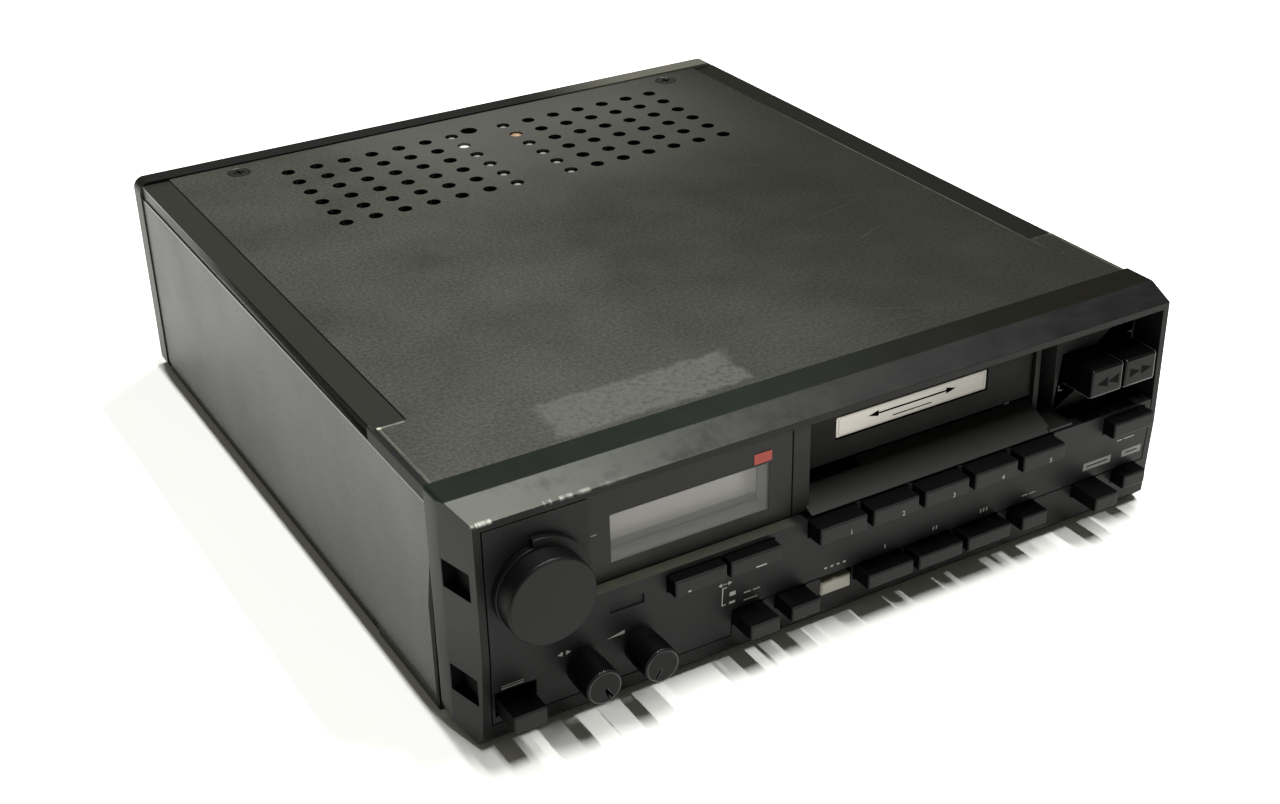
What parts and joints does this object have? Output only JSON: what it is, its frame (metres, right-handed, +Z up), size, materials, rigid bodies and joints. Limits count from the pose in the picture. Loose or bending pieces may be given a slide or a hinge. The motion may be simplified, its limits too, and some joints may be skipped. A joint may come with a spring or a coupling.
{
  "type": "car cassette player",
  "caption": "Dashboard radio and cassette player: a flat metal case with a black control nose, cassette door, display, rotary knobs and push keys.",
  "frame": {"origin": "on the surface the case stands on, under the middle of the whole object with its knobs", "axes": "+X to the right as seen from the front, +Y from the control nose to the rear, +Z up"},
  "size_m": [0.188, 0.2186, 0.058],
  "materials": {
    "bezel_black": "satin moulded black plastic",
    "key_grey": "satin dark grey plastic, ribbed near-black tops",
    "key_pale": "pale grey-beige plastic",
    "winding_key": "dark plastic with a bright edge on the face",
    "display_lens": "clear plastic",
    "liquid_crystal": "grey liquid crystal",
    "label_silver": "silvered plate under a clear cover",
    "cover_coat": "grey-brown textured coat over sheet steel",
    "plated_steel": "zinc plated sheet",
    "screw_black": "blackened steel",
    "heatsink_cast": "cast, painted dark grey",
    "socket_metal": "plated socket shell",
    "connector_plastic": "off-white plastic",
    "holder_black": "black plastic",
    "circuit": "brown printed board with its parts",
    "chip_black": "black moulded package",
    "brass_turned": "turned brass",
    "motor_can": "plated can",
    "reel_black": "black plastic",
    "belt_rubber": "square-cut rubber",
    "head_metal": "polished head shell"
  },
  "bodies": {
    "housing": {"front_bezel": "bezel_black", "control_panel": "bezel_black", "display_panel": "bezel_black", "display_window": "display_lens", "display_module": "liquid_crystal", "cassette_surround": "bezel_black", "recess_plate": "bezel_black", "top_cover": "cover_coat", "cover_screw_left": "screw_black", "cover_screw_right": "screw_black", "bottom_tray": "plated_steel", "rear_heatsink": "heatsink_cast", "aerial_socket": "socket_metal", "harness_connector": "connector_plastic", "fuse_holder": "holder_black", "main_board": "circuit", "front_board": "circuit", "amplifier_chip": "chip_black", "clamp_bracket": "plated_steel", "deck_plate": "plated_steel", "motor": "motor_can", "drive_belt": "belt_rubber"},
    "cassette_door": {"cassette_door": "bezel_black", "door_label": "label_silver"},
    "head_slide": {"head_slide": "plated_steel", "tape_head": "head_metal"},
    "volume_knob": {"volume_knob": "key_grey"},
    "fader_ring": {"fader_ring": "key_grey"},
    "balance_knob": {"balance_knob": "key_grey"},
    "tone_knob": {"tone_knob": "key_grey"},
    "cassette_basket": {"cassette_basket": "plated_steel"},
    "flywheel_front": {"flywheel_front": "brass_turned"},
    "flywheel_rear": {"flywheel_rear": "brass_turned"},
    "motor_pulley": {"motor_pulley": "brass_turned"},
    "reel_front": {"reel_front": "reel_black"},
    "reel_rear": {"reel_rear": "reel_black"},
    "pinch_roller_front": {"pinch_roller_front": "belt_rubber"},
    "pinch_roller_rear": {"pinch_roller_rear": "belt_rubber"},
    "preset_1_button": {"preset_1_button": "key_grey"},
    "preset_2_button": {"preset_2_button": "key_grey"},
    "preset_3_button": {"preset_3_button": "key_grey"},
    "preset_4_button": {"preset_4_button": "key_grey"},
    "preset_5_button": {"preset_5_button": "key_grey"},
    "tune_down_button": {"tune_down_button": "key_grey"},
    "tune_up_button": {"tune_up_button": "key_grey"},
    "program_button": {"program_button": "key_grey"},
    "memo_button": {"memo_button": "key_pale"},
    "band_1_button": {"band_1_button": "key_grey"},
    "band_2_button": {"band_2_button": "key_grey"},
    "band_3_button": {"band_3_button": "key_grey"},
    "search_button": {"search_button": "key_grey"},
    "loud_button": {"loud_button": "key_grey"},
    "seek_button": {"seek_button": "key_grey"},
    "mono_button": {"mono_button": "key_grey"},
    "local_button": {"local_button": "key_grey"},
    "metal_button": {"metal_button": "key_grey"},
    "rewind_button": {"rewind_button": "winding_key"},
    "fast_forward_button": {"fast_forward_button": "winding_key"}
  },
  "joints": [
    {"name": "preset_1_press", "type": "slide", "parent": "housing", "child": "preset_1_button", "axis": [0, 1, 0], "range_m": [0, 0.0015], "stiffness_N_per_m": 300, "springref_m": -0.001},
    {"name": "preset_2_press", "type": "slide", "parent": "housing", "child": "preset_2_button", "axis": [0, 1, 0], "range_m": [0, 0.0015], "stiffness_N_per_m": 300, "springref_m": -0.001},
    {"name": "preset_3_press", "type": "slide", "parent": "housing", "child": "preset_3_button", "axis": [0, 1, 0], "range_m": [0, 0.0015], "stiffness_N_per_m": 300, "springref_m": -0.001},
    {"name": "preset_4_press", "type": "slide", "parent": "housing", "child": "preset_4_button", "axis": [0, 1, 0], "range_m": [0, 0.0015], "stiffness_N_per_m": 300, "springref_m": -0.001},
    {"name": "preset_5_press", "type": "slide", "parent": "housing", "child": "preset_5_button", "axis": [0, 1, 0], "range_m": [0, 0.0015], "stiffness_N_per_m": 300, "springref_m": -0.001},
    {"name": "tune_down_press", "type": "slide", "parent": "housing", "child": "tune_down_button", "axis": [0, 1, 0], "range_m": [0, 0.0015], "stiffness_N_per_m": 300, "springref_m": -0.001},
    {"name": "tune_up_press", "type": "slide", "parent": "housing", "child": "tune_up_button", "axis": [0, 1, 0], "range_m": [0, 0.0015], "stiffness_N_per_m": 300, "springref_m": -0.001},
    {"name": "program_press", "type": "slide", "parent": "housing", "child": "program_button", "axis": [0, 1, 0], "range_m": [0, 0.0015], "stiffness_N_per_m": 300, "springref_m": -0.001},
    {"name": "memo_press", "type": "slide", "parent": "housing", "child": "memo_button", "axis": [0, 1, 0], "range_m": [0, 0.001], "stiffness_N_per_m": 300, "springref_m": -0.001},
    {"name": "band_1_press", "type": "slide", "parent": "housing", "child": "band_1_button", "axis": [0, 1, 0], "range_m": [0, 0.002], "stiffness_N_per_m": 300, "springref_m": -0.001},
    {"name": "band_2_press", "type": "slide", "parent": "housing", "child": "band_2_button", "axis": [0, 1, 0], "range_m": [0, 0.002], "stiffness_N_per_m": 300, "springref_m": -0.001},
    {"name": "band_3_press", "type": "slide", "parent": "housing", "child": "band_3_button", "axis": [0, 1, 0], "range_m": [0, 0.002], "stiffness_N_per_m": 300, "springref_m": -0.001},
    {"name": "search_press", "type": "slide", "parent": "housing", "child": "search_button", "axis": [0, 1, 0], "range_m": [0, 0.0015], "stiffness_N_per_m": 300, "springref_m": -0.001},
    {"name": "loud_push", "type": "slide", "parent": "housing", "child": "loud_button", "axis": [0, 1, 0], "range_m": [0, 0.003]},
    {"name": "seek_push", "type": "slide", "parent": "housing", "child": "seek_button", "axis": [0, 1, 0], "range_m": [0, 0.003]},
    {"name": "mono_push", "type": "slide", "parent": "housing", "child": "mono_button", "axis": [0, 1, 0], "range_m": [0, 0.003]},
    {"name": "local_push", "type": "slide", "parent": "housing", "child": "local_button", "axis": [0, 1, 0], "range_m": [0, 0.003]},
    {"name": "metal_push", "type": "slide", "parent": "housing", "child": "metal_button", "axis": [0, 1, 0], "range_m": [0, 0.003]},
    {"name": "rewind_push", "type": "slide", "parent": "housing", "child": "rewind_button", "axis": [0, 1, 0], "range_m": [0, 0.003]},
    {"name": "fast_forward_push", "type": "slide", "parent": "housing", "child": "fast_forward_button", "axis": [0, 1, 0], "range_m": [0, 0.003]},
    {"name": "volume_turn", "type": "hinge", "parent": "housing", "child": "volume_knob", "pos_m": [-0.0783, -0.10175, 0.0383], "axis": [0, 1, 0], "range_deg": [0, 300]},
    {"name": "fader_turn", "type": "hinge", "parent": "housing", "child": "fader_ring", "pos_m": [-0.0783, -0.10175, 0.0383], "axis": [0, 1, 0], "range_deg": [-70, 70]},
    {"name": "balance_turn", "type": "hinge", "parent": "housing", "child": "balance_knob", "pos_m": [-0.0686, -0.10175, 0.0144], "axis": [0, 1, 0], "range_deg": [-294, 0]},
    {"name": "tone_turn", "type": "hinge", "parent": "housing", "child": "tone_knob", "pos_m": [-0.0548, -0.10175, 0.0144], "axis": [0, 1, 0], "range_deg": [0, 294]},
    {"name": "door_swing", "type": "hinge", "parent": "housing", "child": "cassette_door", "pos_m": [0.02435, -0.08975, 0.0515], "axis": [1, 0, 0], "range_deg": [0, 80], "stiffness_Nm_per_rad": 0.003, "springref_deg": -20.05},
    {"name": "basket_drop", "type": "slide", "parent": "housing", "child": "cassette_basket", "axis": [0, 0, -1], "range_m": [0, 0.01], "stiffness_N_per_m": 150, "springref_m": -0.02},
    {"name": "head_advance", "type": "slide", "parent": "housing", "child": "head_slide", "axis": [-1, 0, 0], "range_m": [0, 0.008], "stiffness_N_per_m": 100, "springref_m": -0.005},
    {"name": "flywheel_front_spin", "type": "hinge", "parent": "housing", "child": "flywheel_front", "pos_m": [0.04875, -0.06175, 0.0186], "axis": [0, 0, 1], "continuous": true},
    {"name": "flywheel_rear_spin", "type": "hinge", "parent": "housing", "child": "flywheel_rear", "pos_m": [0.04875, -0.01375, 0.0186], "axis": [0, 0, 1], "continuous": true},
    {"name": "motor_pulley_spin", "type": "hinge", "parent": "housing", "child": "motor_pulley", "pos_m": [0.00735, 0.03425, 0.0186], "axis": [0, 0, 1], "continuous": true},
    {"name": "reel_front_spin", "type": "hinge", "parent": "housing", "child": "reel_front", "pos_m": [0.02145, -0.059, 0.03], "axis": [0, 0, 1], "continuous": true},
    {"name": "reel_rear_spin", "type": "hinge", "parent": "housing", "child": "reel_rear", "pos_m": [0.02145, -0.0165, 0.03], "axis": [0, 0, 1], "continuous": true},
    {"name": "pinch_roller_front_spin", "type": "hinge", "parent": "head_slide", "child": "pinch_roller_front", "pos_m": [0.06355, -0.06175, 0.034], "axis": [0, 0, 1], "continuous": true},
    {"name": "pinch_roller_rear_spin", "type": "hinge", "parent": "head_slide", "child": "pinch_roller_rear", "pos_m": [0.06355, -0.01375, 0.034], "axis": [0, 0, 1], "continuous": true}
  ],
  "couplings": [
    {"joint": "flywheel_rear_spin", "follows": "flywheel_front_spin", "ratio": -1},
    {"joint": "motor_pulley_spin", "follows": "flywheel_front_spin", "ratio": 4.4118}
  ]
}
